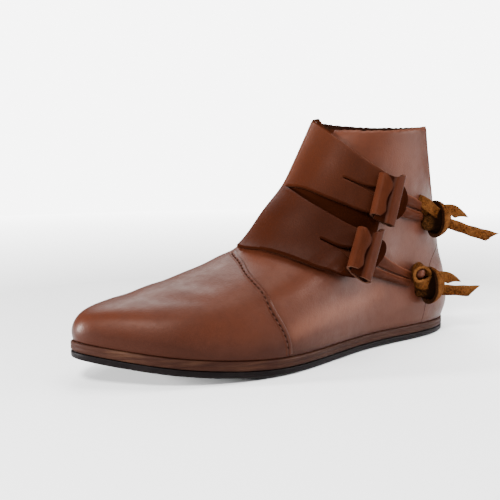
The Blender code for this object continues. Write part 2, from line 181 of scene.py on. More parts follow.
# What fastens each strap. The rows of a lace run from its short end through the knot to its long end:
# distances along the tie, outwards and up from its middle, then the direction of its width in the tie's
# plane, and how far that direction turns out of the plane.
Clasp = namedtuple("Clasp", "name strap curl hole_start hole_end toggle_turn lean slide thong tie")
Thong = namedtuple("Thong", "turn level half")
Tie = namedtuple("Tie", "level turn stand lace")
Lace = namedtuple("Lace", "along out up lean tip", defaults=[0])
CLASPS = [
    Clasp(
        "upper", UPPER_STRAP, 0.8, 134, 91, 102, 21, -2.5,
        table(Thong, (97, 6.56, 0.40), (80, 6.25, 0.45), (60, 5.88, 0.36)),
        Tie(5.52, 50, 0.9, table(
            Lace,
            (22.5, 0.0, -2.4, 48), (15.6, 0.3, 4.2, 70), (10.8, 0.5, 6.0, 90), (5.0, 1.5, 6.0, 100),
            (0.5, 3.5, 4.0, 80), (-5.5, 5.0, 7.2, 56), (-12.0, 4.6, 12.0, 52), (-14.6, 2.0, 13.6, 52),
            (-11.5, -0.4, 10.6, 52), (-5.0, -1.0, 4.0, 56), (1.0, -1.0, -2.2, 66), (6.0, -0.6, -3.8, 76),
            (11.4, 0.0, -3.9, 76), (27.0, 0.0, -9.2, 73), (49.0, 0.0, -15.3, 74),
        )),
    ),
    Clasp(
        "lower", LOWER_STRAP, 1.6, 129, 91, 101, 31, 1.5,
        table(Thong, (95, 4.40, 0.40), (80, 3.82, 0.45), (57, 2.75, 0.40)),
        Tie(2.30, 48, 0.1, table(
            Lace,
            (21.7, 0.0, -1.6, 52), (15.4, 0.3, 3.8, 74), (10.8, 0.5, 5.2, 92), (4.0, 1.5, 5.0, 98),
            (-2.5, 3.5, 2.4, 96, 5), (-8.2, 5.0, 1.8, 88, 15), (-13.4, 4.6, 5.0, 150, 62),
            (-14.2, 4.0, 10.4, 180, 74), (-9.6, 3.4, 14.6, 265, 76), (-4.2, 2.0, 12.2, 310, 64),
            (-1.4, -0.8, 6.6, 340, 40), (1.4, -1.8, 0.4, 410, 10), (6.0, -1.0, -3.4, 438),
            (11.4, 0.0, -4.0, 448), (24.0, 0.0, -5.2, 446), (39.0, 0.0, -6.4, 446),
        )),
    ),
]

# The thongs: the neck in the buttonhole, and the two legs behind it, which bulge between straps and tie
NECK_HALF = 0.08
NECK_TURN = 3.2
NECK_TOP = GAP + STRAP_STAND + FLAP_THICK - 0.1
LEG_SPLIT = 86
LEG_GAP = 0.04
LEG_BULGES = (2.2, 0.8)
BULGE_TURNS = (56, 66), (74, 84)
THONG_ROUND = 0.35

# The toggles. The free end of a roll reaches past the middle of its face by the second number of each row,
# at the height that the first one gives, from -1 at the bottom to 1 at the top.
TOGGLE_LONG = 30.0
TOGGLE_WIDE = 22.0
TOGGLE_DEEP = 9.4
LOOK_WIDE = 20.4
LOOK_SLIDE = 0.9
CORE_TURN = -0.20
BACK_TURN = 0.5
END_TURN = 0.97
START_ANGLE = 0.25
WRAP_STEP = TOGGLE_THICK + GAP
TOP_RISE_TURNS = (0.25, 0.60)
TOP_SHRINK = 0.03
BOTTOM_LONG = 1.04
BOTTOM_SHRINK = 0.20
BOTTOM_TURNS = (0.3, 0.8)
ROLL_START = 0.62
ROLL_END = 1.0
ROLL_PUFF = 0.8
ROLL_LIFT = 0.8
SIDE_PUFF = 0.4
BOXY = 0.8
WITHIN_TURNS = (0.40, 0.45)
LOBE_PUFF = 2.2
LOBE_RISE = (-1.6, 1.2)
GROOVE_FADE = (-1.4, 0.4)
GROOVE_SHADE_LEAST = 0.3
TOGGLE_ROUND = 0.4
FREE_END = [
    (-1.0, -4.6), (-0.8, -2.4), (-0.4, -2.8), (0.0, -2.6), (0.35, -1.2), (0.6, -1.2), (0.8, -3.2),
    (1.0, -6.5),
]

# The laces, which are drawn a little wider than in the solids and trimmed aslant
KNOT_DEEP = 5.8
TIE_HEADING = (0.35, 0.94, 0.0)
LACE_POINTS = 150
LACE_LOOK = 1.12
LACE_CUP = 0.35
LACE_EDGE_LIGHT_AND_SHADE = 0.35
LACE_ROUND = 0.5
SHORT_TRIM = 10.0
LONG_TRIM = 11.0
TRIM_RUN = (0, 24)

# The band that closes each knot, narrower towards the heel, and the turns of lace that fill it, painted dark
# as shade, as rows of distances along and up and a size
BAND_AXIS = (-0.14, 0.99, 0.0)
BAND_TALL = 11.8
BAND_NEAR = 7.6
BAND_FAR = 4.8
BAND_START = -2.7
BAND_WIDE = 13.0
BAND_SLIM = 0.55
BAND_TAPER = 0.34
BAND_BOXY = 0.8
CORE = [
    (-11.0, -3.0, 0.05), (-10.0, -3.0, 0.30), (-7.5, -2.6, 0.44), (-4.5, -1.6, 0.54), (-2.0, -0.8, 0.64),
    (0.0, 0.0, 0.82), (2.0, 0.0, 0.85), (4.5, 0.0, 0.72), (7.5, 0.0, 0.40), (9.0, 0.0, 0.05),
]
CORE_LEAST = 0.02
CORE_MIDDLE = -3
CORE_SHADE_RUN = (-7.0, -2.0)
NUB = (-9.5, 2.6, 9.5)
NUB_RADII = (4.3, 3.5, 4.2)

# Places of the raised seam down the outer side, and of the flat one round the heel piece
VAMP_SEAM = [(4.93, 188), (4.72, 166), (4.24, 146), (3.44, 126), (2.45, 114), (1.30, 107), (0.12, 104.5)]
HEEL_SEAM = [(4.90, 0), (4.34, 28.5), (3.62, 41.9), (2.60, 45.5), (1.20, 46.5), (0.05, 46.0)]

# Distances across a seam and heights there: the raised one, from the vamp's edge over the groove to the
# quarter's edge, and the flat one
SEAM_PROFILE = [
    (-2.6, -0.40), (-1.6, 0.02), (-0.7, 0.22), (-0.3, 0.05), (0.0, -0.05), (0.35, 0.15), (0.9, 0.30),
    (1.6, 0.36), (2.4, 0.24), (2.9, 0.02), (3.4, -0.40),
]
SEAM_SUNK = 0.9
SEAM_GROOVE = 0.4
HEEL_PROFILE = [(-0.45, -0.25), (-0.2, 0.10), (0.2, 0.10), (0.45, -0.25)]
HEEL_SUNK = 0.6
STITCH_STEP = 3.7
STITCH_LONG = 2.3
STITCH_RADIUS = 0.55
STITCH_BLUNT = 0.97
STITCH_SLANT = 14
STITCH_LIFT = 0.25
STITCH_DIP = 0.6


def spline(knots, values, at):
    """A natural cubic spline through the rows of values at the knots, read at the places given."""
    knots, values, at = (np.asarray(a, float) for a in (knots, values, at))
    step = np.diff(knots)
    count = len(knots)
    system = np.eye(count)
    right = np.zeros_like(values)
    for i in range(1, count - 1):
        system[i, i - 1:i + 2] = step[i - 1], 2 * (step[i - 1] + step[i]), step[i]
        right[i] = 6 * ((values[i + 1] - values[i]) / step[i] - (values[i] - values[i - 1]) / step[i - 1])
    bend = np.linalg.solve(system, right)
    k = np.clip(np.searchsorted(knots, at, "right") - 1, 0, count - 2)
    shape = at.shape + (1,) * (values.ndim - 1)
    before = (at - knots[k]).reshape(shape)
    after = (knots[k + 1] - at).reshape(shape)
    wide = step[k].reshape(shape)
    return (
        (bend[k] * after**3 + bend[k + 1] * before**3) / (6 * wide)
        + (values[k] / wide - bend[k] * wide / 6) * after
        + (values[k + 1] / wide - bend[k + 1] * wide / 6) * before
    )


def through(rows, count):
    """A smooth run of points through the rows of a table."""
    values = np.array(rows, float)
    return spline(np.arange(len(values)), values, np.linspace(0, len(values) - 1, count))


def ramp(start, end, value):
    """0 before start and 1 past end, with a soft change between."""
    share = np.clip((np.asarray(value, float) - start) / (end - start), 0, 1)
    return share * share * (3 - 2 * share)


def window(rise, fall, value):
    """1 between a soft rise and a soft fall, and 0 outside them."""
    return ramp(*rise, value) * (1 - ramp(*fall, value))


def bell(distance, width):
    """1 at no distance, fading away over a width."""
    return np.exp(-((distance / width) ** 2))


def unit(vectors):
    return vectors / np.linalg.norm(vectors, axis=-1, keepdims=True)


def boxed(value, power):
    """A sine or cosine made squarer, with its sign kept."""
    return np.sign(value) * np.abs(value) ** power


def walked_length(line):
    """The length walked along a line up to each of its points."""
    return np.append(0, np.cumsum(np.linalg.norm(np.diff(line, axis=0), axis=1)))


def edge_rows(count):
    """Shares across a strip, closer together at both of its edges."""
    return (1 - np.cos(np.linspace(0, np.pi, count))) / 2


def spring(along):
    """Height of the sole's underside at a distance from the heel."""
    share = np.clip((along / LENGTH - SPRING_START) / (1 - SPRING_START), 0, None)
    return TOE_SPRING * share**2


EDGE_TURNS = np.degrees(np.arccos(1 - 2 * np.array([row.share for row in SOLE_EDGE])))
EDGE_WIDTHS = np.array([[row.outer, row.inner] for row in SOLE_EDGE])
WIDEST = EDGE_WIDTHS.max(axis=0).mean()
RING_ROWS = np.array([row[1:] for row in RINGS])


def half_turn(turn):
    """The turn from the heel, on whichever side it is nearer."""
    turn = np.asarray(turn, float) % 360
    return np.minimum(turn, 360 - turn)


def by_side(turn, widths):
    """x from the half widths on the outer and the inner side."""
    return np.where(np.asarray(turn, float) % 360 <= 180, widths[..., 0], -widths[..., 1])


def sole_edge(turn):
    """(x, y) of the sole's outline at a turn round it."""
    half = half_turn(turn)
    along = LENGTH * (1 - np.cos(np.radians(half))) / 2
    return np.stack([by_side(turn, spline(EDGE_TURNS, EDGE_WIDTHS, half)), LENGTH / 2 - along], -1)


def skin(level, turn):
    """Points of the upper's outer skin."""
    level, turn = np.broadcast_arrays(np.asarray(level, float), np.asarray(turn, float))
    rows = spline(np.arange(len(RINGS)), RING_ROWS, level)
    front, front_z, back, back_z, wide, oval, follow = np.moveaxis(rows, -1, 0)
    half = half_turn(turn)
    share = (1 - np.cos(np.radians(half))) / 2
    along = back + (front - back) * share
    z = back_z + (front_z - back_z) * share**RING_BOW + np.clip(follow, 0, 1) * spring(along)
    oval = np.clip(oval, 0, 1)[..., None]
    outline = spline(EDGE_TURNS, EDGE_WIDTHS, half) / WIDEST
    ellipse = np.sin(np.radians(half))[..., None]
    widths = wide[..., None] * ((1 - oval) * outline + oval * ellipse)
    return np.stack([by_side(turn, widths), LENGTH / 2 - along, z], -1)


def normal(level, turn):
    """Outward directions of the skin."""
    level_step, turn_step = 0.02, 0.5
    low = np.clip(np.asarray(level, float) - level_step, 0, COLLAR_LEVEL)
    high = np.clip(np.asarray(level, float) + level_step, 0, COLLAR_LEVEL)
    turn = np.asarray(turn, float)
    up = skin(high, turn) - skin(low, turn)
    around = skin(level, turn + turn_step) - skin(level, turn - turn_step)
    return unit(np.cross(up, around))


def off_skin(level, turn, lift):
    """Points at a distance from the skin."""
    return skin(level, turn) + normal(level, turn) * np.asarray(lift, float)[..., None]


def frame_shift():
    """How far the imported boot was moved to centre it, from the outsole's box."""
    low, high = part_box("outsole")
    edge = sole_edge(np.linspace(0, 360, 72, endpoint=False)) * MM
    middle = (edge.min(axis=0) + edge.max(axis=0)) / 2
    return np.array([(low.x + high.x) / 2 - middle[0], (low.y + high.y) / 2 - middle[1], 0.0])


SHIFT = frame_shift()


def placed(points):
    """Points in metres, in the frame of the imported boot."""
    return np.asarray(points, float) * MM + SHIFT


# Materials. These are the sockets of a Mix node that hold colours.
COLOUR_INPUTS = (6, 7)
COLOUR_OUTPUT = 2


def fill(made, inputs):
    """Sets a node's inputs to values, or links sockets to them."""
    for key, value in inputs.items():
        if isinstance(value, bpy.types.NodeSocket):
            made.id_data.links.new(value, made.inputs[key])
        else:
            made.inputs[key].default_value = value


def node(near, kind, inputs, **settings):
    """A new node in a tree, or in the tree of a socket."""
    made = near.id_data.nodes.new("ShaderNode" + kind)
    for key, value in settings.items():
        setattr(made, key, value)
    fill(made, inputs)
    return made


def new_look(name):
    """A material, and the socket of the place on a piece."""
    look = bpy.data.materials.new(name)
    look.use_nodes = True
    return look, node(look.node_tree, "TexCoord", {}).outputs["Object"]


def surface(look, colour, rough, specular, others):
    """Sets what a material's shader shows."""
    inputs = {"Base Color": colour, "Roughness": rough, "Specular IOR Level": specular}
    fill(look.node_tree.nodes["Principled BSDF"], {**inputs, **others})
    return look


def mesh_tone(where):
    return node(where, "Attribute", {}, attribute_name="shade").outputs["Fac"]


def noise(where, scale, detail, roughness=0.5):
    inputs = {"Vector": where, "Scale": scale, "Detail": detail, "Roughness": roughness}
    return node(where, "TexNoise", inputs).outputs["Fac"]


def levels(value, low, high, to_low=0.0, to_high=1.0):
    """value from low to high, mapped to a new range."""
    inputs = {"Value": value, "From Min": low, "From Max": high, "To Min": to_low, "To Max": to_high}
    return node(value, "MapRange", inputs).outputs["Result"]


def mixed(share, first, second):
    """A mix of two colours."""
    made = node(share, "Mix", {"Factor": share}, data_type="RGBA")
    for socket, value in zip(COLOUR_INPUTS, (first, second)):
        fill(made, {socket: (*value, 1) if isinstance(value, tuple) else value})
    return made.outputs[COLOUR_OUTPUT]


def combined(first, operation, second):
    """Two numbers added or multiplied."""
    return node(first, "Math", {0: first, 1: second}, operation=operation).outputs[0]


def bumped(height, strength, distance):
    inputs = {"Height": height, "Strength": strength, "Distance": distance}
    return {"Normal": node(height, "Bump", inputs).outputs["Normal"]}


def smooth_leather(name, base, deep, pale, specular):
    """Satin leather. The mesh's tone darkens it below 0 and lightens it above."""
    look, where = new_look(name)
    tone = mesh_tone(where)
    cloud = levels(noise(where, scale=26, detail=4), 0.35, 0.7)
    mottle = noise(where, scale=210, detail=5, roughness=0.6)
    darker = combined(combined(cloud, "MULTIPLY", 0.42), "ADD", levels(tone, 0, -1))
    colour = mixed(darker, base, deep)
    colour = mixed(levels(tone, 0, 1), colour, pale)
    colour = mixed(levels(mottle, 0.5, 0.75, 0, 0.22), colour, deep)
    rough = combined(levels(mottle, 0.3, 0.7, 0.36, 0.46), "ADD", levels(cloud, 0, 1, -0.04, 0.08))
    pores = node(where, "TexVoronoi", {"Vector": where, "Scale": 950, "Randomness": 1}, feature="SMOOTH_F1")
    grain = combined(pores.outputs["Distance"], "ADD", noise(where, scale=1700, detail=3))
    others = {**bumped(grain, 0.16, 0.0004), "Specular Tint": LEATHER_GLOSS}
    return surface(look, colour, rough, specular, others)


def fibrous(name, base, deep, pale, scale=800, strength=0.9):
    """The napped or cut side of leather, with short fibres."""
    look, where = new_look(name)
    tone = mesh_tone(where)
    nap = noise(where, scale, detail=6, roughness=0.7)
    patch = noise(where, scale / 9, detail=3)
    colour = mixed(levels(nap, 0.43, 0.58), deep, base)
    colour = mixed(levels(patch, 0.45, 0.8, 0, 0.7), colour, pale)
    colour = mixed(levels(tone, 0, -1), colour, deep)
    colour = mixed(levels(tone, 0, 1), colour, pale)
    return surface(look, colour, 0.92, 0.01, bumped(nap, strength, 0.0014))


def sole_leather(name, base, deep, pale):
    """The cut edge of a leather sole: streaks along it, with rubbed places."""
    look, where = new_look(name)
    stretched = node(where, "Mapping", {"Vector": where, "Scale": (28, 28, 620)}).outputs["Vector"]
    streak = noise(stretched, scale=1, detail=5, roughness=0.65)
    patch = noise(where, scale=38, detail=3)
    colour = mixed(levels(streak, 0.30, 0.70), deep, base)
    rubbed = combined(levels(patch, 0.45, 0.72), "MULTIPLY", levels(streak, 0.40, 0.65))
    along = node(where, "SeparateXYZ", {"Vector": where}).outputs["Y"]
    rubbed = combined(rubbed, "MULTIPLY", levels(along, -0.02, -0.09, 0.12, 0.9))
    fine = combined(noise(where, scale=1200, detail=4), "MULTIPLY", 0.3)
    grain = bumped(combined(streak, "ADD", fine), 0.18, 0.0005)
    return surface(look, mixed(rubbed, colour, pale), levels(patch, 0.3, 0.7, 0.62, 0.42), 0.05, grain)


def black_rubber(name, base, dusty):
    look, where = new_look(name)
    dust = levels(noise(where, scale=90, detail=5, roughness=0.65), 0.5, 0.8)
    grain = bumped(noise(where, scale=900, detail=4), 0.25, 0.0004)
    return surface(look, mixed(dust, base, dusty), levels(dust, 0, 1, 0.48, 0.7), 0.05, grain)


def waxed_thread(name, base, pale):
    look, where = new_look(name)
    strand = noise(where, scale=1500, detail=2)
    return surface(look, mixed(strand, base, pale), 0.6, 0.02, bumped(strand, 0.4, 0.0003))


# The looks. The colours of a leather are its base, its deep and its pale tone.
LEATHER_GLOSS = (1.0, 0.72, 0.62, 1)
LEATHER = smooth_leather(
    "chestnut_leather", (0.050, 0.0136, 0.0064), (0.020, 0.0042, 0.0016), (0.120, 0.042, 0.024), 0.13
)
STRAP_LEATHER = smooth_leather(
    "strap_leather", (0.028, 0.0070, 0.0029), (0.014, 0.0031, 0.0012), (0.100, 0.034, 0.018), 0.055
)
TOGGLE_LEATHER = smooth_leather(
    "toggle_leather", (0.038, 0.0098, 0.0042), (0.014, 0.0031, 0.0012), (0.100, 0.034, 0.018), 0.02
)
# Dark leather without gloss that stands for shade: in the slit between the straps, at the strap tips and
# lower edges, in the toggles' grooves and at the collar's corner
SHADE_LEATHER = smooth_leather(
    "painted_shade_leather", (0.026, 0.0066, 0.0028), (0.011, 0.0025, 0.0010), (0.060, 0.016, 0.007), 0.0
)
CUT_EDGE = fibrous(
    "cut_leather_edge", (0.058, 0.019, 0.010), (0.014, 0.0040, 0.0018), (0.170, 0.080, 0.052), 700, 0.4
)
FLESH = fibrous(
    "flesh_side", (0.030, 0.010, 0.006), (0.009, 0.003, 0.0015), (0.060, 0.023, 0.012), 520, 0.8
)
SUEDE = fibrous("golden_suede", (0.072, 0.0235, 0.0056), (0.018, 0.0054, 0.0011), (0.125, 0.049, 0.0140))
# Dark suede that stands for shade, on the inside and cut faces of the knots' bands
SUEDE_IN_SHADE = fibrous("suede_painted_shade", (0.020, 0.007, 0.003), (0.006, 0.002, 0.001), (0.060, 0.022, 0.008))
# Near-black suede that stands for shade, for the lace inside the knots
KNOT_SHADE = fibrous("knot_painted_shade", (0.050, 0.018, 0.005), (0.004, 0.0015, 0.0006), (0.080, 0.032, 0.009))
MIDSOLE = sole_leather(
    "midsole_edge", (0.025, 0.0088, 0.0050), (0.015, 0.0048, 0.0029), (0.066, 0.031, 0.017)
)
RUBBER = black_rubber("black_rubber", (0.003, 0.0018, 0.0019), (0.008, 0.0055, 0.0053))
THREAD = waxed_thread("dark_thread", (0.008, 0.003, 0.002), (0.026, 0.009, 0.005))

# Pieces. The pick of a shape is each face's place in the list of looks, and its tones are its points'.
Shape = namedtuple("Shape", "points faces pick tones", defaults=[None, None])
OVER, UNDER, CUT, PAINTED_SHADE_PICK = range(4)
BEVEL_SEGMENTS = 3
BEVEL_ANGLE = 50
WAVES = 7


def add_object(name, data):
    made = bpy.data.objects.new(name, data)
    bpy.context.scene.collection.objects.link(made)
    return made


def add_piece(name, shape, looks, replaced=()):
    """A piece of the boot that rides on its one body."""
    mesh = bpy.data.meshes.new(name)
    mesh.from_pydata(placed(shape.points).tolist(), [], shape.faces)
    for look in looks:
        mesh.materials.append(look)
    if shape.pick is not None:
        mesh.polygons.foreach_set("material_index", np.asarray(shape.pick, np.int32))
    turned = bmesh.new()
    turned.from_mesh(mesh)
    bmesh.ops.recalc_face_normals(turned, faces=turned.faces[:])
    turned.to_mesh(mesh)
    turned.free()
    mesh.shade_smooth()
    tones = np.zeros(len(shape.points)) if shape.tones is None else np.asarray(shape.tones, float)
    mesh.attributes.new("shade", "FLOAT", "POINT").data.foreach_set("value", tones)
    made = add_object(name, mesh)
    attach(made, "root")
    if replaced:
        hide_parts(*replaced)
    return made


def sheet(lanes, painted_shade=()):
    """A sheet with two faces. A lane is (under, over, tone): two grids of points, and the tone of each.
    Lanes whose points agree are joined, and the border is closed with a wall. The last argument marks over
    faces that take the glossless leather of painted shade."""
    points, faces, pick, tones, index, borders = [], [], [], [], {}, {}

    def corner(under, over, tone):
        key = tuple(np.round(np.concatenate([under, over]), 4))
        if key not in index:
            index[key] = len(points)
            points.extend((under, over))
            tones.extend((tone, tone))
        return index[key]

    for under, over, tone in lanes:
        columns, rows = under.shape[:2]
        tone = np.broadcast_to(tone, (columns, rows))
        ids = [[corner(under[i, j], over[i, j], tone[i, j]) for j in range(rows)] for i in range(columns)]
        for i in range(columns - 1):
            for j in range(rows - 1):
                loop = [ids[i][j], ids[i + 1][j], ids[i + 1][j + 1], ids[i][j + 1]]
                faces.append([k + 1 for k in reversed(loop)])
                faces.append(loop)
                pick.extend((OVER, UNDER))
                for a, b in zip(loop, loop[1:] + loop[:1]):
                    borders[frozenset((a, b))] = None if frozenset((a, b)) in borders else (a, b)
    for edge in borders.values():
        if edge:
            a, b = edge
            faces.append([b, a, a + 1, b + 1])
            pick.append(CUT)
    pick[:2 * len(painted_shade):2] = np.where(painted_shade, PAINTED_SHADE_PICK, OVER).tolist()
    return Shape(points, faces, pick, tones)


def tube(rings, count, first=0):
    """Faces between neighbouring rings of count points."""
    faces = []
    for low in range(first, first + (rings - 1) * count, count):
        for k in range(count):
            after = (k + 1) % count
            faces.append([low + k, low + after, low + count + after, low + count + k])
    return faces


def soften_edges(made, width):
    """Rounds the cut edges of a piece."""
    bevel = made.modifiers.new("cut edges", "BEVEL")
    bevel.width = width * MM
    bevel.segments = BEVEL_SEGMENTS
    bevel.limit_method = "ANGLE"
    bevel.angle_limit = np.radians(BEVEL_ANGLE)
    return made


def wave(points, size, seed):
    """A gentle, even unevenness from -1 to 1 with features of a size, the same each run."""
    turn = np.random.default_rng(seed)
    value = np.zeros(np.asarray(points).shape[:-1])
    for _ in range(WAVES):
        heading = unit(turn.normal(size=3)) * turn.uniform(0.6, 1.5)
        value += np.sin(points @ heading * 2 * np.pi / size + turn.uniform(0, 2 * np.pi))
    return value / WAVES


def line_distance(points, line):
    """The distance of points from a run of straight steps."""
    flat = points.reshape(-1, 3)
    nearest = np.full(len(flat), np.inf)
    for start, end in zip(line[:-1], line[1:]):
        run = end - start
        share = np.clip((flat - start) @ run / (run @ run), 0, 1)
        nearest = np.minimum(nearest, np.linalg.norm(flat - start - share[:, None] * run, axis=1))
    return nearest.reshape(points.shape[:-1])


# Creases of the upper: soft troughs (below 0) and ridges through places on the skin
Crease = namedtuple("Crease", "depth width places")
LIGHT_BAND = [(1.13, 103.9), (1.63, 94.9), (1.87, 82.4), (2.22, 70.4)]
CREASES = table(
    Crease,
    (-0.9, 5.0, [(5.0, 205), (5.1, 225), (4.9, 250)]),
    (0.6, 6.0, [(4.6, 208), (4.5, 232), (4.3, 252)]),
    (0.6, 9.0, LIGHT_BAND),
    (-0.7, 8.0, [(1.9, 113.5), (3.1, 108.8), (3.8, 105.9), (4.4, 103.0)]),
    (-0.5, 6.0, [(6.9, 66), (5.9, 44), (5.2, 22)]),
    (0.5, 7.0, [(7.6, 62), (6.6, 38), (6.1, 14)]),
    (-0.5, 6.0, [(5.4, 292), (5.0, 312), (4.9, 334)]),
    (0.45, 6.0, [(6.0, 290), (5.6, 312), (5.5, 334)]),
    (-0.45, 7.0, [(3.7, 150), (3.9, 180), (3.6, 212)]),
    (-0.4, 6.0, [(3.0, 140), (3.2, 178), (2.9, 214)]),
)

# Painted shadows under the lower strap's edge, the lower toggle and the thongs, and a painted highlight band
# on the quarter
PAINTED_SHADOWS_AND_HIGHLIGHT = table(
    Crease,
    (-0.6, 3.2, [(row.low, row.turn) for row in LOWER_STRAP[1:-1]]),
    (-0.5, 6.5, [(3.3, 93), (2.9, 86)]),
    (0.5, 6.5, LIGHT_BAND),
    *((-0.7, 1.7, [(row.level - row.half, row.turn) for row in each.thong]) for each in CLASPS),
)

# Tones of the upper: dark low on the vamp, at the sole and toe, beside the raised seam and at the far rim;
# painted shade between the straps, a painted highlight at the near rim and a painted sheen on the quarter
UPPER_COLUMNS = 360
UPPER_ROWS = 118
VAMP_TURNS = (80, 115)
VAMP_TONE = -0.70
VAMP_LEVELS = (0.2, 1.6)
SIDE_SHARE = 0.15
SOLE_TONE = -0.5
SOLE_LEVELS = (0.0, 0.35)
TOE_TONE = -0.35
TOE_TURNS = (120, 165)
TOE_LEVELS = (1.2, 2.4)
SEAM_TONE = -0.35
SEAM_TONE_WIDE = 3.5
FAR_RIM_TONE = -0.8
FAR_RIM_TURNS = (165, 178)
FAR_RIM_LEVELS = (COLLAR_LEVEL - 0.12, COLLAR_LEVEL - 0.04)
NEAR_RIM_HIGHLIGHT = 0.5
NEAR_RIM_TURNS = (140, 160)
NEAR_RIM_TALL = (-0.08, -0.01)
PAINTED_SHEEN = 0.08
SHEEN_TURNS = (24, 40), (80, 104)
SHEEN_LEVELS = (0.5, 1.4), (2.8, 4.0)
SLIT_SHADE = -0.8
SLIT_TURNS = (86, 102), (184, 190)
SLIT_LOW = 0.25
SLIT_HIGH = 0.3
SLIT_SHADE_LEAST = 0.5


def skin_line(places, count):
    """A smooth line on the skin through places."""
    return skin(*through(places, count).T)


def soft_lines(rows, points):
    """The sum of the soft troughs and ridges of a table at points of the skin."""
    total = np.zeros(points.shape[:-1])
    for row in rows:
        total += row.depth * bell(line_distance(points, skin_line(row.places, 12)), row.width)
    return total


def relief(points):
    """How far the creases and the leather's unevenness lift the skin."""
    return 0.28 * wave(points, 46, 3) + 0.10 * wave(points, 17, 4) + soft_lines(CREASES, points)


def uneven_tone(points):
    return 0.12 * wave(points, 60, 9)


def rim_level(turn):
    return COLLAR_LEVEL - RIM_DIP * window(*RIM_TURNS, np.asarray(turn, float) % 360)


def strap_edges(rows, turns):
    """The levels of a strap's two edges."""
    values = np.array(rows, float)[::-1]
    return spline(values[:, 0], values[:, 1:], turns).T


def between_straps(level, turn):
    """1 on the skin in the slit between the straps, 0 away from it."""
    at = np.clip(turn, LOWER_STRAP[-1].turn, ROOT_TURN)
    low = strap_edges(LOWER_STRAP, at)[1].T
    high = strap_edges(UPPER_STRAP, at)[0].T
    inside = ramp(low - SLIT_LOW, low, level) * (1 - ramp(high, high + SLIT_HIGH, level))
    return inside * window(*SLIT_TURNS, turn)


def upper_tone(level, turn, points):
    half = half_turn(turn)
    front = SIDE_SHARE + (1 - SIDE_SHARE) * ramp(*VAMP_TURNS, half)
    tone = VAMP_TONE * front * (1 - ramp(*VAMP_LEVELS, level)) + SOLE_TONE * (1 - ramp(*SOLE_LEVELS, level))
    tone += TOE_TONE * ramp(*TOE_TURNS, half) * (1 - ramp(*TOE_LEVELS, level))
    # Painted light: shadows and a highlight band, a highlight at the near rim, sheen on the quarter, shade
    # in the slit
    tone += soft_lines(PAINTED_SHADOWS_AND_HIGHLIGHT, points)
    tone += NEAR_RIM_HIGHLIGHT * (1 - ramp(*NEAR_RIM_TURNS, turn)) * ramp(*NEAR_RIM_TALL, level - rim_level(turn))
    tone += PAINTED_SHEEN * window(*SHEEN_TURNS, turn) * window(*SHEEN_LEVELS, level)
    tone += SEAM_TONE * bell(line_distance(points, skin_line(VAMP_SEAM, 40)), SEAM_TONE_WIDE)
    tone -= ramp(*FAR_RIM_TURNS, turn) * ramp(*FAR_RIM_LEVELS, level)
    return tone + SLIT_SHADE * between_straps(level, turn) + uneven_tone(points)


def add_upper():
    """The wall, with the relief faded at the sole and the rim. The far rim's edge has the inside's look."""
    turns = np.linspace(0, 360, UPPER_COLUMNS + 1)[:, None]
    turns[-1] = 0
    share = np.linspace(0, 1, UPPER_ROWS)
    rough_rim = 0.02 * wave(skin(COLLAR_LEVEL, turns), 3.1, 12)
    level = share[None] * (rim_level(turns) + rough_rim)
    turn = np.broadcast_to(turns, level.shape)
    outward = normal(level, turn)
    upright = outward.copy()
    upright[..., 2] *= ramp(0.0, UPRIGHT_LEVEL, level)
    upright = unit(upright)
    outside = skin(level, turn)
    fade = ramp(0.0, 0.5, level) * (1 - 0.6 * ramp(8.6, 9.0, level))
    round_off = 0.5 * ramp(0.988, 1.0, share)[None, :, None]
    outside = outside + outward * (relief(outside) * fade)[..., None]
    inside = outside - upright * (WALL - round_off)
    inside += upright * (0.12 * wave(inside, 5, 21))[..., None]
    # The collar's corner by the flap and the slit between the straps take the glossless leather of painted
    # shade
    corner = (turn > CORNER_TURNS[0]) & (turn < CORNER_TURNS[1]) & (level > rim_level(turn) - CORNER_TALL)
    painted_shade = corner | (between_straps(level, turn) > SLIT_SHADE_LEAST)
    tone = upper_tone(level, turn, outside)
    shape = sheet([(inside, outside - outward * round_off, tone)], painted_shade[:-1, :-1].ravel())
    for k, face in enumerate(shape.faces):
        if shape.pick[k] == CUT and shape.tones[face[0]] < FAR_RIM_TONE:
            shape.pick[k] = UNDER
    looks = [LEATHER, FLESH, CUT_EDGE, SHADE_LEATHER]
    add_piece("upper_leather", shape, looks, ["upper"])


def toggle_level(clasp):
    """The strap's middle, where the thong's neck comes up through the buttonhole."""
    return strap_edges(clasp.strap, np.array([clasp.toggle_turn - NECK_TURN / 2])).mean()


def strap_outlines():
    """Each strap's columns and two edges, with a round tip. At the root the straps share an edge."""
    even = np.arange(ROOT_TURN, EVEN_TURN - STRAP_STEP / 2, -STRAP_STEP)
    closer = np.sin(np.linspace(0, np.pi / 2, TIP_STEPS + 1))[1:]
    outlines = []
    for clasp in CLASPS:
        tip = clasp.strap[-1].turn
        turns = np.concatenate([even, EVEN_TURN - (EVEN_TURN - tip) * closer])
        low, high = strap_edges(clasp.strap, turns)
        narrow = np.clip((tip + TIP_ROUND - turns) / TIP_ROUND, 0, TIP_BLUNT)
        middle, half = (low + high) / 2, (high - low) / 2 * np.sqrt(1 - narrow**2)
        outlines.append((turns, middle - half, middle + half))
    joined = np.count_nonzero(even >= SLIT_TURN)
    upper_low, lower_high = outlines[0][1], outlines[1][2]
    shared = (upper_low[:joined] + lower_high[:joined]) / 2
    upper_low[:joined] = shared
    lower_high[:joined] = shared
    return outlines


def rounding(distance):
    """How far a cut edge is rounded off at a distance from it."""
    short = np.clip(EDGE_ROUND - distance, 0, EDGE_ROUND)
    return EDGE_ROUND - np.sqrt(EDGE_ROUND**2 - short**2)


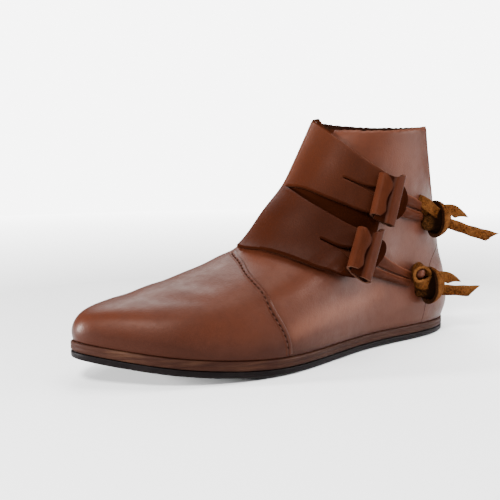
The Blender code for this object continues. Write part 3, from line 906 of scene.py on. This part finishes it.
def buttonhole(clasp, turns):
    """Half the width of a strap's buttonhole by turn, and how far the thong's neck spreads its lips."""
    start, end, neck = clasp.hole_start, clasp.hole_end, clasp.toggle_turn
    opens = ramp(start, neck + HOLE_EASE, turns)
    closes = ramp(end, neck - NECK_TURN - HOLE_EASE, turns)
    thin = HOLE_THIN * ramp(start, start - HOLE_TIP, turns)
    return HOLE_WIDE * (thin + (1 - HOLE_THIN) * opens**4) * closes, (opens * closes)[:, None]


def add_flap():
    """The flap grows out of the upper. Each strap has a lane on either side of its buttonhole."""
    lanes, painted_shade = [], []
    across = edge_rows(17)[None]
    outlines = strap_outlines()
    split = ramp(*SPLIT_TURNS, outlines[0][0])[:, None]
    for clasp, (turns, low, high) in zip(CLASPS, outlines):
        opening, spread = buttonhole(clasp, turns)
        holed = ramp(0, 0.01, opening)[:, None]
        middle = (low + high) / 2
        upper = clasp.name == "upper"
        from_tip = np.radians(turns - turns[-1])[:, None] * RINGS[COLLAR_LEVEL].wide
        for below, start, end in ((True, low, middle - opening), (False, middle + opening, high)):
            level = start[:, None] + (end - start)[:, None] * across
            turn = np.broadcast_to(turns[:, None], level.shape)
            base = skin(level, turn)
            wide = np.linalg.norm(base[:, -1] - base[:, 0], axis=-1)[:, None]
            from_bottom, from_top = across * wide, (1 - across) * wide
            outer_cut = split if below == upper else np.ones_like(split)
            low_cut, high_cut = (outer_cut, holed) if below else (holed, outer_cut)
            cut = low_cut * rounding(from_bottom) + high_cut * rounding(from_top) + rounding(from_tip)
            from_low = (level - low[:, None]) / (high - low)[:, None]
            curl = clasp.curl * (1 - from_low) ** 2 * window(*CURL_TURNS, turn)
            lip = -LIP_PRESS * across**4 if below else LIP_LIFT * (1 - across) ** 4
            stand = GAP + STRAP_STAND * (1 - ramp(*STAND_TURNS, turn)) + curl + lip * spread
            sink = ramp(*SINK_TURNS, turn)
            thick = FLAP_THICK * (1 - SINK_THIN * sink)
            cut = np.minimum(cut, ROUND_MOST * thick)
            over = (stand + thick) * (1 - sink) - DIVE * ramp(*DIVE_TURNS, turn)
            over = over + relief(base) * sink + 0.15 * wave(base, 30, 5)
            # Painted highlight along the top edges, and painted shade along the lower edges, over the lower
            # strap and at the tips
            at_top = high_cut * np.exp(-from_top / EDGE_FADE) * ramp(*TOP_EDGE_START, from_tip)
            at_top = at_top * (1 - ramp(*TOP_EDGE_TURNS, turn))
            at_bottom = low_cut * np.exp(-from_bottom / EDGE_FADE)
            root = ramp(*ROOT_BLEND, turn)
            tone = (TOP_EDGE_HIGHLIGHT * at_top + BOTTOM_EDGE_SHADE * at_bottom) * (1 - sink) + uneven_tone(base)
            tone = tone + LOW_TONE * (1 - from_low) ** 3 * (1 - ramp(*LOW_TONE_TURNS, turn))
            tone = tone + (0.0 if upper else LOWER_STRAP_SHADE) * (1 - root) + ROOT_TONE * root
            tone = tone - TIP_SHADE * (1 - ramp(*TIP_FADE, from_tip))
            under = off_skin(level, turn, over - thick + cut)
            lanes.append((under, off_skin(level, turn, over - cut), tone))
            # Tips, lower edges and the corner at the collar take the glossless leather of painted shade
            corner = (turn > CORNER_TURNS[0]) & (from_top < CORNER_EDGE) & (upper and not below)
            painted_shade_part = (from_tip < TIP_SHADE_REACH) | (at_bottom > BOTTOM_SHADE_LEAST) | corner
            painted_shade.extend(painted_shade_part[1:, :-1].ravel())
    looks = [STRAP_LEATHER, FLESH, CUT_EDGE, SHADE_LEATHER]
    add_piece("flap_leather", sheet(lanes, painted_shade), looks, ["wrap_flap"])


def add_thong(clasp):
    """A split strip on the skin, turned up at its front end into the buttonhole's neck."""
    values = np.array(clasp.thong, float)[::-1]
    front = clasp.toggle_turn
    back = front - NECK_TURN
    turns = np.linspace(values[0, 0], values[-1, 0], 60)
    level, half = spline(values[:, 0], values[:, 1:], turns).T
    under = [(turn, GAP) for turn in turns] + [(front, GAP), (front, NECK_TOP)]
    over = [(turn, GAP + THONG_THICK) for turn in turns] + [(back, GAP + THONG_THICK), (back, NECK_TOP)]
    level = np.append(level, [toggle_level(clasp)] * 2)
    half = np.append(half, [NECK_HALF] * 2)
    split = np.append(np.where(turns < LEG_SPLIT, LEG_GAP, 0), [0, 0])
    bulging = window(*BULGE_TURNS, np.append(turns, [front, front]))[:, None]
    across = np.linspace(0, 1, 9)
    lanes = []
    for start, end, bulge in zip((level - half, level + split), (level - split, level + half), LEG_BULGES):
        rows = start[:, None] + (end - start)[:, None] * across
        belly = bulge * np.sin(np.pi * across) * bulging
        sides = []
        for side in (under, over):
            turn, lift = (np.broadcast_to(np.array(v)[:, None], rows.shape) for v in zip(*side))
            sides.append(off_skin(rows, turn, lift + belly))
        # Each leg painted lighter along its upper edge, a painted highlight
        lanes.append((*sides, 0.9 * across**8 - 0.15))
    name = "thong_" + clasp.name
    looks = [TOGGLE_LEATHER, FLESH, CUT_EDGE]
    soften_edges(add_piece(name + "_leather", sheet(lanes), looks, [name]), THONG_ROUND)


def add_toggle(clasp):
    """A strip rolled up into a flat scroll. Its free end comes round the toe side as a soft roll with a wavy
    edge, and lies beside the rounded lobe of the turn within."""
    back_deep = TOGGLE_DEEP / 2 - WRAP_STEP * (END_TURN - BACK_TURN)
    level = toggle_level(clasp)
    place = off_skin(level, clasp.toggle_turn, GAP + STRAP_STAND + FLAP_THICK + GAP + back_deep)
    out = normal(level, clasp.toggle_turn)
    to_heel = unit(np.cross((0.0, 0.0, 1.0), out))
    upright = np.cross(out, to_heel)
    lean = np.radians(clasp.lean)
    axis = np.cos(lean) * upright + np.sin(lean) * to_heel
    side = np.cos(lean) * to_heel - np.sin(lean) * upright
    place = place + clasp.slide * axis + LOOK_SLIDE * side
    turns = np.linspace(CORE_TURN, ROLL_END, 170)
    wound = (END_TURN - turns) * WRAP_STEP
    rolled = np.clip((turns - ROLL_START) / (ROLL_END - ROLL_START), 0, 1)
    puff = ROLL_PUFF * np.sin(np.pi * rolled) + ROLL_LIFT * ramp(0.7, 1.0, rolled)
    heel_side = np.clip(-np.cos((turns + START_ANGLE) * 2 * np.pi), 0, 1)
    rise = TOGGLE_WIDE / 2 * np.tan(lean) * heel_side * (1 - ramp(*TOP_RISE_TURNS, turns))
    top = TOGGLE_LONG / 2 * (1 - TOP_SHRINK * rolled) + rise
    bottom = -TOGGLE_LONG / 2 * (BOTTOM_LONG - BOTTOM_SHRINK * ramp(*BOTTOM_TURNS, turns))
    rows = edge_rows(33)
    height = bottom[:, None] + (top - bottom)[:, None] * rows[None]
    past = spline(*np.array(FREE_END).T, 2 * rows - 1) / (2 * (LOOK_WIDE + TOGGLE_DEEP))
    swing = ((turns + START_ANGLE)[:, None] + past[None] * ramp(0.4, 1.0, rolled)[:, None]) * 2 * np.pi
    across, deep = boxed(np.cos(swing), BOXY), boxed(np.sin(swing), BOXY)
    within = (1 - ramp(*WITHIN_TURNS, turns))[:, None]
    faces = []
    for inset in (TOGGLE_THICK, 0.0):
        sideways = (wound + inset - LOOK_WIDE / 2 - SIDE_PUFF * puff)[:, None] * across
        outward = (TOGGLE_DEEP / 2 - wound - inset + puff)[:, None] * deep
        lobe = LOBE_PUFF * ramp(*LOBE_RISE, sideways) * within * ramp(0, 0.5, deep)
        spot = place + sideways[..., None] * side + (outward + lobe)[..., None] * out
        faces.append(spot + height[..., None] * axis)
    # Painted shade in the groove beside the roll and along the roll's free edge; the groove's faces take the
    # glossless leather of painted shade
    groove = within * ramp(0, 0.3, deep) * (1 - ramp(*GROOVE_FADE, sideways))
    end_edge = ramp(0.93, 1.0, rolled)[:, None]
    tone = 0.10 * wave(faces[1], 14, 8) - 0.30 - 0.9 * groove - 0.3 * end_edge
    shape = sheet([(*faces, tone)], (groove[1:, 1:] > GROOVE_SHADE_LEAST).ravel())
    name = "toggle_" + clasp.name
    looks = [TOGGLE_LEATHER, FLESH, CUT_EDGE, SHADE_LEATHER]
    soften_edges(add_piece(name + "_leather", shape, looks, [name]), TOGGLE_ROUND)


def tie_axes(tie):
    """The middle of a tie and its directions: along, outwards and up."""
    along = unit(np.array(TIE_HEADING))
    up = np.array([0.0, 0.0, 1.0])
    return off_skin(tie.level, tie.turn, KNOT_DEEP + tie.stand), np.stack([along, np.cross(along, up), up])


def add_lace(clasp):
    """One suede lace with two trimmed ends, from the short one through the knot to the long one."""
    centre, axes = tie_axes(clasp.tie)
    rows = through(clasp.tie.lace, LACE_POINTS)
    line = centre + rows[:, :3] @ axes
    lean, tip = np.radians(rows[:, 3]), np.radians(rows[:, 4])
    wide = np.column_stack([np.cos(tip) * np.cos(lean), np.sin(tip), np.cos(tip) * np.sin(lean)]) @ axes
    run = unit(np.gradient(line, axis=0))
    wide = unit(wide - (wide * run).sum(axis=1, keepdims=True) * run)
    face = np.cross(run, wide)
    walked = walked_length(line)
    across = np.linspace(-1, 1, 9)

    def trimmed(trim, from_end):
        return trim * (1 - across) / 2 * (1 - ramp(*TRIM_RUN, from_end))[:, None]

    first = trimmed(SHORT_TRIM, walked)
    last = walked[-1] - trimmed(LONG_TRIM, walked[-1] - walked)
    place = np.clip(walked[:, None], first, last)
    half = LACE_LOOK * LACE_WIDE / 2 * (1 + 0.05 * np.sin(walked / 5.3) + 0.04 * np.sin(walked / 1.9))
    spot = np.stack([np.interp(place, walked, line[:, k]) for k in range(3)], -1)
    spot = spot + across[None, :, None] * half[:, None, None] * wide[:, None]
    spot = spot + LACE_CUP * (1 - across**2)[None, :, None] * face[:, None]
    lift = face[:, None] * (LACE_THICK / 2)
    # One long edge of the lace painted lighter as a highlight, the other darker as shade
    shape = sheet([(spot - lift, spot + lift, LACE_EDGE_LIGHT_AND_SHADE * across**2 * np.sign(across))])
    name = "tie_" + clasp.name
    nodes = [f"{name}_knot", f"{name}_long_end", f"{name}_short_end"]
    made = add_piece(name + "_lace", shape, [SUEDE] * 3, nodes)
    return soften_edges(made, LACE_ROUND), line, walked[-1]


def band_deep(theta):
    """Half the depth of a knot round its axis, larger on the near side."""
    return np.where(np.sin(theta) > 0, BAND_NEAR, BAND_FAR)


def add_band(clasp):
    """The turn of lace that closes the knot."""
    centre, (_, _, up) = tie_axes(clasp.tie)
    axis = unit(np.array(BAND_AXIS))
    near = np.cross(axis, up)
    theta = np.linspace(0, 2 * np.pi, 97)
    theta[-1] = 0
    deep = band_deep(theta)
    tall = BAND_TALL * boxed(np.cos(theta), BAND_BOXY)
    ring = tall[:, None] * up + (deep * np.sin(theta))[:, None] * near
    outward = unit((np.cos(theta) / BAND_TALL)[:, None] * up + (np.sin(theta) / deep)[:, None] * near)
    across = edge_rows(17)[None]
    wide = (BAND_WIDE * (1 - BAND_SLIM * (1 - np.maximum(np.sin(theta), 0))))[:, None]
    narrow = 1 - BAND_TAPER * across * wide / BAND_WIDE
    spot = centre + ring[:, None] * narrow[..., None] + (BAND_START + across * wide)[..., None] * axis
    bulge = 0.9 * (1 - (2 * across - 1) ** 2) + 0.3 * wave(spot, 7, 31)
    over = spot + (bulge + LACE_THICK / 2)[..., None] * outward[:, None]
    under = spot + (bulge - LACE_THICK / 2)[..., None] * outward[:, None]
    # Painted shade on the band's toe-side rim; its inside and cut faces are the dark suede that stands for
    # shade
    shape = sheet([(under, over, -0.5 * (1 - ramp(0, 0.2, across)))])
    made = add_piece(f"tie_{clasp.name}_band", shape, [SUEDE, SUEDE_IN_SHADE, SUEDE_IN_SHADE])
    return soften_edges(made, LACE_ROUND)


def add_core(clasp):
    """The turns of lace inside the band and between it and the thong, painted dark as shade, darkest at the
    band.
    """
    centre, (along, out, up) = tie_axes(clasp.tie)
    rows = through(CORE, 40)
    theta = np.linspace(0, 2 * np.pi, 48, endpoint=False)
    deep = band_deep(theta) * np.sin(theta)
    ring = (BAND_TALL * np.cos(theta))[:, None] * up + deep[:, None] * out
    points = []
    for place, height, size in rows:
        points.extend(centre + place * along + height * up + max(size, CORE_LEAST) * ring)
    points = np.array(points)
    tones = np.repeat(-0.35 - 0.65 * ramp(*CORE_SHADE_RUN, rows[:, 0]), len(theta))
    middle = centre + CORE_MIDDLE * along
    points += unit(points - middle) * (0.5 * wave(points, 6, 33))[:, None]
    count = len(theta)
    ends = [list(range(count)), list(range(len(points) - count, len(points)))]
    shape = Shape(points, ends + tube(len(rows), count), tones=tones)
    return add_piece(f"tie_{clasp.name}_core", shape, [KNOT_SHADE])


def add_nub(clasp):
    """The rounded end of the thong in the loop of the lace."""
    centre, axes = tie_axes(clasp.tie)
    ball = bmesh.new()
    bmesh.ops.create_icosphere(ball, subdivisions=4, radius=1.0)
    ball.verts.index_update()
    points = centre + (np.array([corner.co for corner in ball.verts]) * NUB_RADII + NUB) @ axes
    faces = [[corner.index for corner in face.verts] for face in ball.faces]
    ball.free()
    add_piece(f"thong_{clasp.name}_end", Shape(points, faces), [LEATHER])


def add_tie(clasp):
    lace, line, length = add_lace(clasp)
    wraps = [add_band(clasp), add_core(clasp)]


def seam_frame(places, count):
    """A seam's line on the skin, with its directions: along, across and outwards."""
    line = skin_line(places, count)
    outward = normal(*through(places, count).T)
    line = line + outward * relief(line)[:, None]
    run = unit(np.gradient(line, axis=0))
    return line, run, unit(np.cross(outward, run)), outward


def add_vamp_seam():
    line, _, across, outward = seam_frame(VAMP_SEAM, 150)
    profile = through(SEAM_PROFILE, 37)
    to_heel = np.sign(across[len(line) // 2][1])
    spot = line[:, None] + profile[None, :, :1] * to_heel * across[:, None]
    over = spot + profile[None, :, 1:] * outward[:, None]
    under = spot - SEAM_SUNK * outward[:, None]
    shape = sheet([(under, over, -0.3 - 0.4 * bell(profile[:, 0], SEAM_GROOVE))])
    add_piece("vamp_seam_ridge", shape, [LEATHER] * 3, ["vamp_seam"])


def add_stitches():
    """Short slanted stitches along the raised seam, in one piece."""
    line, run, across, outward = seam_frame(VAMP_SEAM, 400)
    walked = walked_length(line)
    slant = np.radians(STITCH_SLANT)
    sides, rings = 8, 7
    around = (np.arange(sides) * 2 * np.pi / sides)[:, None]
    points, faces = [], []
    for at in np.arange(STITCH_STEP, walked[-1] - STITCH_STEP / 2, STITCH_STEP):
        k = np.searchsorted(walked, at)
        heading = np.cos(slant) * run[k] + np.sin(slant) * across[k]
        ring = np.cos(around) * np.cross(outward[k], heading) + np.sin(around) * outward[k]
        first = len(points)
        for share in np.linspace(-1, 1, rings):
            thick = STITCH_RADIUS * np.sqrt(1 - (STITCH_BLUNT * share) ** 2)
            centre = line[k] + outward[k] * STITCH_LIFT * (1 - STITCH_DIP * share**2)
            points.extend(centre + heading * share * STITCH_LONG / 2 + thick * ring)
        faces.extend(tube(rings, sides, first))
        faces.append([first + side for side in reversed(range(sides))])
        faces.append([first + (rings - 1) * sides + side for side in range(sides)])
    add_piece("vamp_seam_thread", Shape(points, faces), [THREAD])


def add_heel_seam():
    """The flat seam round the heel piece: a thin dark line, on both sides of the heel."""
    both = [(level, -turn) for level, turn in reversed(HEEL_SEAM[1:])] + HEEL_SEAM
    line, _, across, outward = seam_frame(both, 220)
    over = np.stack([line + across * a + outward * b for a, b in HEEL_PROFILE], axis=1)
    under = np.stack([line + across * a - outward * HEEL_SUNK for a, _ in HEEL_PROFILE], axis=1)
    add_piece("heel_seam_line", sheet([(under, over, 0.0)]), [THREAD] * 3)


def sole_layer(name, look, replaced, base, rows):
    """A layer of the sole from rows of (height, inset), its first and last row being its faces' rims."""
    count = 320
    edge = sole_edge(np.linspace(0, 360, count, endpoint=False))
    run = unit(np.roll(edge, -1, axis=0) - np.roll(edge, 1, axis=0))
    inward = np.stack([run[:, 1], -run[:, 0]], -1)
    uneven = 0.14 * wave(np.column_stack([edge, np.zeros(count)]), 23, 41)
    points = []
    for height, inset in rows:
        ring = edge + inward * (inset + uneven[:, None])
        points.extend(np.column_stack([ring, base + height + spring(LENGTH / 2 - ring[:, 1])]))
    faces = tube(len(rows), count)
    for low in (0, len(points) - count):
        for k in range(count // 2):
            ladder = [k, k + 1, count - k - 1, (count - k) % count]
            faces.append([low + i for i in dict.fromkeys(ladder)])
    add_piece(name, Shape(points, faces), [look], [replaced])


def add_soles():
    sole_layer("outsole_rubber", RUBBER, "outsole", 0.0, [
        (0.0, 1.1), (0.25, 0.5), (0.8, 0.15), (1.9, 0.05), (3.2, 0.05), (3.6, 0.2), (OUTSOLE_THICK, 0.6),
    ])
    sole_layer("midsole_leather", MIDSOLE, "midsole", MIDSOLE_BASE, [
        (0.0, 0.9), (0.3, 0.35), (0.8, 0.1), (2.4, 0.05), (2.75, 0.35), (3.1, 0.05),
        (MIDSOLE_THICK - 1.1, 0.1), (MIDSOLE_THICK - 0.5, 0.35), (MIDSOLE_THICK, 1.1),
    ])
    sole_layer("insole_leather", FLESH, "insole", INSOLE_BASE, [
        (0.0, INSOLE_INSET), (INSOLE_THICK - 0.6, INSOLE_INSET),
        (INSOLE_THICK - 0.15, INSOLE_INSET + 0.2), (INSOLE_THICK, INSOLE_INSET + 0.8),
    ])


# Stage, light and camera. The camera's place is an azimuth and an elevation round its target, and its focal
# length is in pixels of the 500 pixel frame.
CAMERA_AZIMUTH = 52.82
CAMERA_ELEVATION = 6.80
CAMERA_DISTANCE = 527.0
CAMERA_ROLL = 0.56
CAMERA_TARGET = (0.0, -26.24, 68.49)
FOCAL_PIXELS = 839
FRAME_PIXELS = 500
SENSOR = 36.0
CLIP_START = 0.01


def add_camera():
    azimuth, elevation = np.radians(CAMERA_AZIMUTH), np.radians(CAMERA_ELEVATION)
    roll = np.radians(CAMERA_ROLL)
    flat = np.cos(elevation)
    back = np.array([np.sin(azimuth) * flat, -np.cos(azimuth) * flat, np.sin(elevation)])
    level = np.array([np.cos(azimuth), np.sin(azimuth), 0.0])
    upward = np.cross(back, level)
    right = np.cos(roll) * level - np.sin(roll) * upward
    up = np.sin(roll) * level + np.cos(roll) * upward
    place = placed(np.array(CAMERA_TARGET) + CAMERA_DISTANCE * back)
    camera = add_object("camera", bpy.data.cameras.new("camera"))
    camera.data.sensor_width = SENSOR
    camera.data.lens = SENSOR * FOCAL_PIXELS / FRAME_PIXELS
    camera.data.clip_start = CLIP_START
    camera.matrix_world = Matrix(np.vstack([np.column_stack([right, up, back, place]), [0, 0, 0, 1]]))
    bpy.context.scene.camera = camera


# Lights round the boot, in metres: where each stands, what it aims at, its size and its power
Softbox = namedtuple("Softbox", "name place aim size power")
SOFTBOXES = table(
    Softbox,
    ("left_top", (-0.65, 0.28, 0.68), (0.0, -0.05, 0.05), (0.5, 0.5), 5.5),
    ("overhead", (0.10, 0.10, 1.00), (0.0, 0.0, 0.05), (0.6, 0.6), 8),
    ("front_top", (0.44, -0.55, 0.56), (0.02, -0.10, 0.05), (0.16, 0.16), 13),
    ("vamp_side", (0.62, 0.10, 0.60), (0.03, -0.08, 0.04), (0.5, 0.5), 1.1),
    ("heel_side", (0.75, 0.75, 0.45), (0.0, 0.05, 0.07), (0.9, 0.7), 5.2),
    ("right_back", (0.56, 0.88, 0.14), (0.0, 0.03, 0.06), (0.7, 0.24), 2.2),
    ("heel_floor", (0.20, 0.27, 0.20), (0.20, 0.27, 0.0), (0.12, 0.12), 2.4),
    ("toe_side", (-0.45, -1.00, 0.23), (0.0, -0.13, 0.03), (0.13, 0.16), 48),
)
WHITE = (1.0, 1.0, 1.0, 1)
WORLD_STRENGTH = 0.12
BACKDROP_STRENGTH = 7.0
FLOOR_NEAR = 0.35
FLOOR_FAR = 1.3
FLOOR_RADIUS = 1.32
FLOOR_DROP = 0.0004


def add_softbox(box):
    light = bpy.data.lights.new(box.name, "AREA")
    light.shape = "RECTANGLE"
    light.size, light.size_y = box.size
    light.energy = box.power
    lamp = add_object(box.name, light)
    lamp.location = box.place
    lamp.rotation_euler = (Vector(box.aim) - Vector(box.place)).to_track_quat("-Z", "Y").to_euler()


def add_floor():
    """A pale floor that brightens into the backdrop away from the boot."""
    disc = bmesh.new()
    bmesh.ops.create_circle(disc, cap_ends=True, segments=96, radius=FLOOR_RADIUS)
    mesh = bpy.data.meshes.new("floor")
    disc.to_mesh(mesh)
    disc.free()
    look, where = new_look("pale_floor")
    away = node(where, "VectorMath", {0: where}, operation="LENGTH").outputs["Value"]
    colour = mixed(noise(where, scale=3, detail=2), (0.88, 0.88, 0.88), (0.92, 0.92, 0.92))
    glow = levels(away, FLOOR_NEAR, FLOOR_FAR, 0.0, BACKDROP_STRENGTH)
    others = {"Emission Color": WHITE, "Emission Strength": glow}
    mesh.materials.append(surface(look, colour, 0.9, 0.1, others))
    floor = add_object("floor", mesh)
    floor.location.z = CAD_BOX[0].z - FLOOR_DROP


def add_world():
    """Dim all round, with a white backdrop."""
    world = bpy.data.worlds.new("studio")
    world.use_nodes = True
    tree = world.node_tree
    seen = node(tree, "LightPath", {}).outputs["Is Camera Ray"]
    strength = levels(seen, 0, 1, WORLD_STRENGTH, BACKDROP_STRENGTH)
    fill(tree.nodes["Background"], {"Color": WHITE, "Strength": strength})
    bpy.context.scene.world = world


add_camera()
for clasp in CLASPS:
    add_tie(clasp)
    add_thong(clasp)
    add_toggle(clasp)
add_nub(CLASPS[1])
add_flap()
add_upper()
add_vamp_seam()
add_stitches()
add_heel_seam()
add_soles()
add_floor()
add_world()
for box in SOFTBOXES:
    add_softbox(box)
